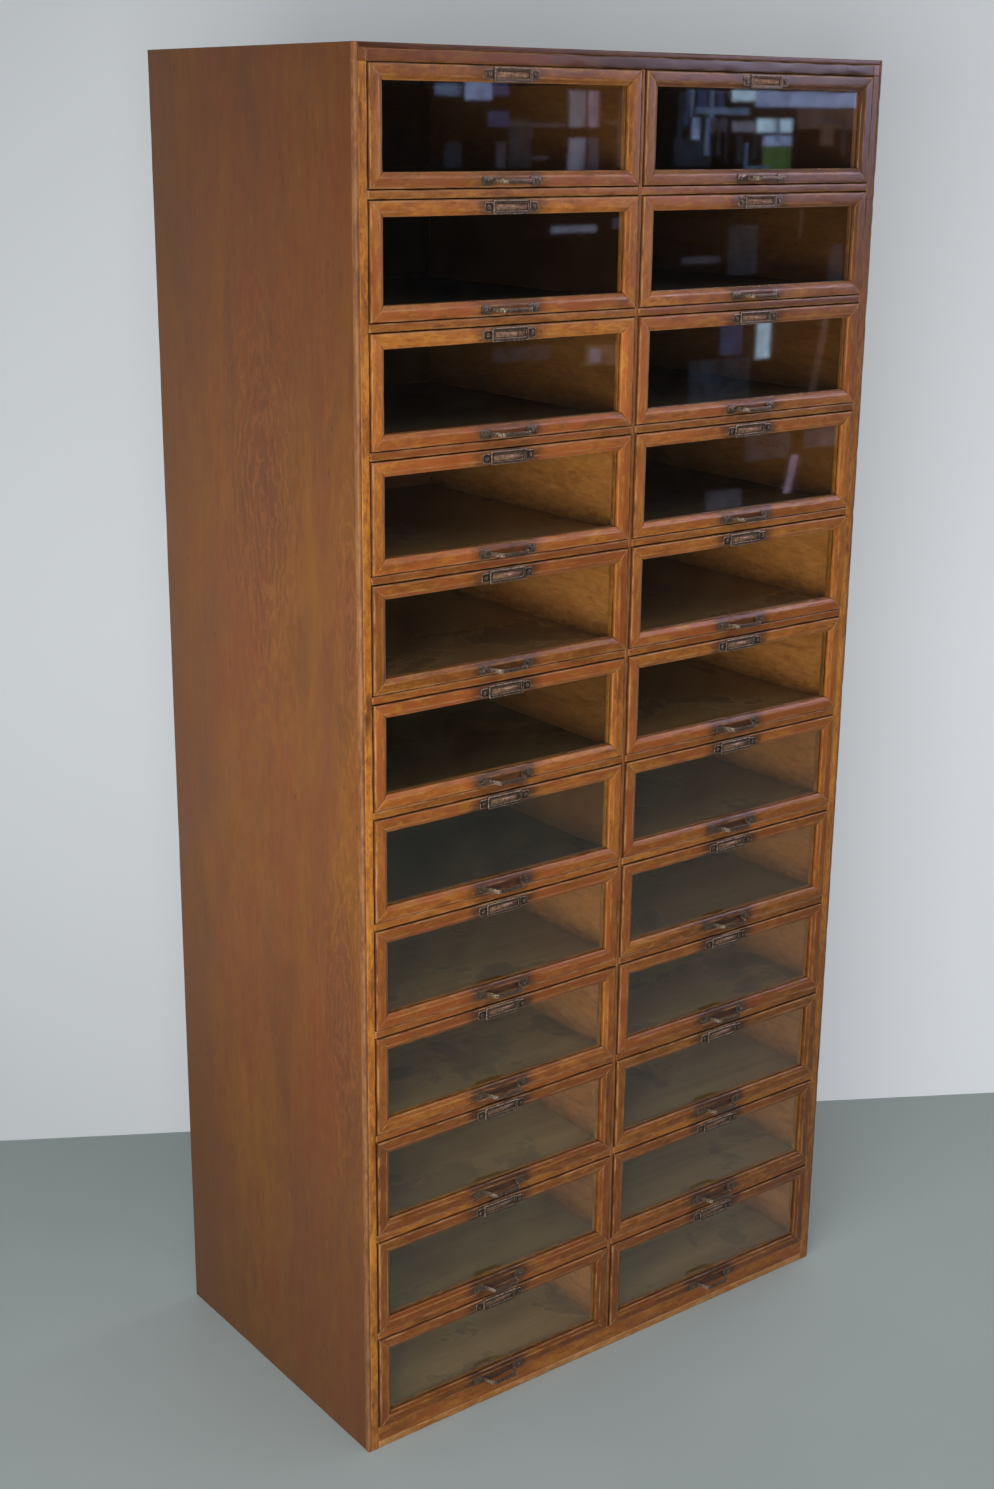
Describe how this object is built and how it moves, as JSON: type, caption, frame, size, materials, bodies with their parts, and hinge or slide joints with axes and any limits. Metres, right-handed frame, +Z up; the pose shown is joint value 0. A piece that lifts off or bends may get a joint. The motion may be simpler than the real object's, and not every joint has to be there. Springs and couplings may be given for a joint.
{
  "type": "haberdashery cabinet",
  "caption": "Tall haberdashery cabinet with paired columns of shallow glazed drawers, each sliding out by a bent strip pull under an empty label holder.",
  "frame": {"origin": "on the floor, under the middle of the cabinet's box, pulls included", "axes": "+Z up, the drawer fronts face -Y, +X to the right as one faces them"},
  "size_m": [0.95, 0.567, 2.048],
  "materials": {
    "side_veneer": "satin varnish, figured reddish brown veneer",
    "front_wood": "worn satin varnish on golden brown wood",
    "carcass_wood": "aged bare wood",
    "drawer_wood": "worn satin varnish on golden brown wood",
    "glass": "thin old clear pane",
    "brass": "dark oxidised, rubbed bright on the edges"
  },
  "bodies": {
    "carcass": {"left_side_panel": "side_veneer", "right_side_panel": "side_veneer", "top_board": "carcass_wood", "bottom_board": "carcass_wood", "back_panel": "carcass_wood", "centre_partition": "front_wood", "front_stiles": "front_wood", "top_rail": "front_wood", "bottom_rail": "front_wood", "drawer_rails": "front_wood", "drawer_runners": "carcass_wood", "drawer_stops": "carcass_wood"},
    "left_drawer_01": {"left_drawer_01_box": "drawer_wood", "left_drawer_01_glass_and_pull": "glass"},
    "left_drawer_02": {"left_drawer_02_box": "drawer_wood", "left_drawer_02_glass_and_pull": "glass"},
    "left_drawer_03": {"left_drawer_03_box": "drawer_wood", "left_drawer_03_glass_and_pull": "glass"},
    "left_drawer_04": {"left_drawer_04_box": "drawer_wood", "left_drawer_04_glass_and_pull": "glass"},
    "left_drawer_05": {"left_drawer_05_box": "drawer_wood", "left_drawer_05_glass_and_pull": "glass"},
    "left_drawer_06": {"left_drawer_06_box": "drawer_wood", "left_drawer_06_glass_and_pull": "glass"},
    "left_drawer_07": {"left_drawer_07_box": "drawer_wood", "left_drawer_07_glass_and_pull": "glass"},
    "left_drawer_08": {"left_drawer_08_box": "drawer_wood", "left_drawer_08_glass_and_pull": "glass"},
    "left_drawer_09": {"left_drawer_09_box": "drawer_wood", "left_drawer_09_glass_and_pull": "glass"},
    "left_drawer_10": {"left_drawer_10_box": "drawer_wood", "left_drawer_10_glass_and_pull": "glass"},
    "left_drawer_11": {"left_drawer_11_box": "drawer_wood", "left_drawer_11_glass_and_pull": "glass"},
    "left_drawer_12": {"left_drawer_12_box": "drawer_wood", "left_drawer_12_glass_and_pull": "glass"},
    "right_drawer_01": {"right_drawer_01_box": "drawer_wood", "right_drawer_01_glass_and_pull": "glass"},
    "right_drawer_02": {"right_drawer_02_box": "drawer_wood", "right_drawer_02_glass_and_pull": "glass"},
    "right_drawer_03": {"right_drawer_03_box": "drawer_wood", "right_drawer_03_glass_and_pull": "glass"},
    "right_drawer_04": {"right_drawer_04_box": "drawer_wood", "right_drawer_04_glass_and_pull": "glass"},
    "right_drawer_05": {"right_drawer_05_box": "drawer_wood", "right_drawer_05_glass_and_pull": "glass"},
    "right_drawer_06": {"right_drawer_06_box": "drawer_wood", "right_drawer_06_glass_and_pull": "glass"},
    "right_drawer_07": {"right_drawer_07_box": "drawer_wood", "right_drawer_07_glass_and_pull": "glass"},
    "right_drawer_08": {"right_drawer_08_box": "drawer_wood", "right_drawer_08_glass_and_pull": "glass"},
    "right_drawer_09": {"right_drawer_09_box": "drawer_wood", "right_drawer_09_glass_and_pull": "glass"},
    "right_drawer_10": {"right_drawer_10_box": "drawer_wood", "right_drawer_10_glass_and_pull": "glass"},
    "right_drawer_11": {"right_drawer_11_box": "drawer_wood", "right_drawer_11_glass_and_pull": "glass"},
    "right_drawer_12": {"right_drawer_12_box": "drawer_wood", "right_drawer_12_glass_and_pull": "glass"}
  },
  "joints": [
    {"name": "left_drawer_01_slide", "type": "slide", "parent": "carcass", "child": "left_drawer_01", "axis": [0, -1, 0], "range_m": [0, 0.38]},
    {"name": "left_drawer_02_slide", "type": "slide", "parent": "carcass", "child": "left_drawer_02", "axis": [0, -1, 0], "range_m": [0, 0.38]},
    {"name": "left_drawer_03_slide", "type": "slide", "parent": "carcass", "child": "left_drawer_03", "axis": [0, -1, 0], "range_m": [0, 0.38]},
    {"name": "left_drawer_04_slide", "type": "slide", "parent": "carcass", "child": "left_drawer_04", "axis": [0, -1, 0], "range_m": [0, 0.38]},
    {"name": "left_drawer_05_slide", "type": "slide", "parent": "carcass", "child": "left_drawer_05", "axis": [0, -1, 0], "range_m": [0, 0.38]},
    {"name": "left_drawer_06_slide", "type": "slide", "parent": "carcass", "child": "left_drawer_06", "axis": [0, -1, 0], "range_m": [0, 0.38]},
    {"name": "left_drawer_07_slide", "type": "slide", "parent": "carcass", "child": "left_drawer_07", "axis": [0, -1, 0], "range_m": [0, 0.38]},
    {"name": "left_drawer_08_slide", "type": "slide", "parent": "carcass", "child": "left_drawer_08", "axis": [0, -1, 0], "range_m": [0, 0.38]},
    {"name": "left_drawer_09_slide", "type": "slide", "parent": "carcass", "child": "left_drawer_09", "axis": [0, -1, 0], "range_m": [0, 0.38]},
    {"name": "left_drawer_10_slide", "type": "slide", "parent": "carcass", "child": "left_drawer_10", "axis": [0, -1, 0], "range_m": [0, 0.38]},
    {"name": "left_drawer_11_slide", "type": "slide", "parent": "carcass", "child": "left_drawer_11", "axis": [0, -1, 0], "range_m": [0, 0.38]},
    {"name": "left_drawer_12_slide", "type": "slide", "parent": "carcass", "child": "left_drawer_12", "axis": [0, -1, 0], "range_m": [0, 0.38]},
    {"name": "right_drawer_01_slide", "type": "slide", "parent": "carcass", "child": "right_drawer_01", "axis": [0, -1, 0], "range_m": [0, 0.38]},
    {"name": "right_drawer_02_slide", "type": "slide", "parent": "carcass", "child": "right_drawer_02", "axis": [0, -1, 0], "range_m": [0, 0.38]},
    {"name": "right_drawer_03_slide", "type": "slide", "parent": "carcass", "child": "right_drawer_03", "axis": [0, -1, 0], "range_m": [0, 0.38]},
    {"name": "right_drawer_04_slide", "type": "slide", "parent": "carcass", "child": "right_drawer_04", "axis": [0, -1, 0], "range_m": [0, 0.38]},
    {"name": "right_drawer_05_slide", "type": "slide", "parent": "carcass", "child": "right_drawer_05", "axis": [0, -1, 0], "range_m": [0, 0.38]},
    {"name": "right_drawer_06_slide", "type": "slide", "parent": "carcass", "child": "right_drawer_06", "axis": [0, -1, 0], "range_m": [0, 0.38]},
    {"name": "right_drawer_07_slide", "type": "slide", "parent": "carcass", "child": "right_drawer_07", "axis": [0, -1, 0], "range_m": [0, 0.38]},
    {"name": "right_drawer_08_slide", "type": "slide", "parent": "carcass", "child": "right_drawer_08", "axis": [0, -1, 0], "range_m": [0, 0.38]},
    {"name": "right_drawer_09_slide", "type": "slide", "parent": "carcass", "child": "right_drawer_09", "axis": [0, -1, 0], "range_m": [0, 0.38]},
    {"name": "right_drawer_10_slide", "type": "slide", "parent": "carcass", "child": "right_drawer_10", "axis": [0, -1, 0], "range_m": [0, 0.38]},
    {"name": "right_drawer_11_slide", "type": "slide", "parent": "carcass", "child": "right_drawer_11", "axis": [0, -1, 0], "range_m": [0, 0.38]},
    {"name": "right_drawer_12_slide", "type": "slide", "parent": "carcass", "child": "right_drawer_12", "axis": [0, -1, 0], "range_m": [0, 0.38]}
  ]
}
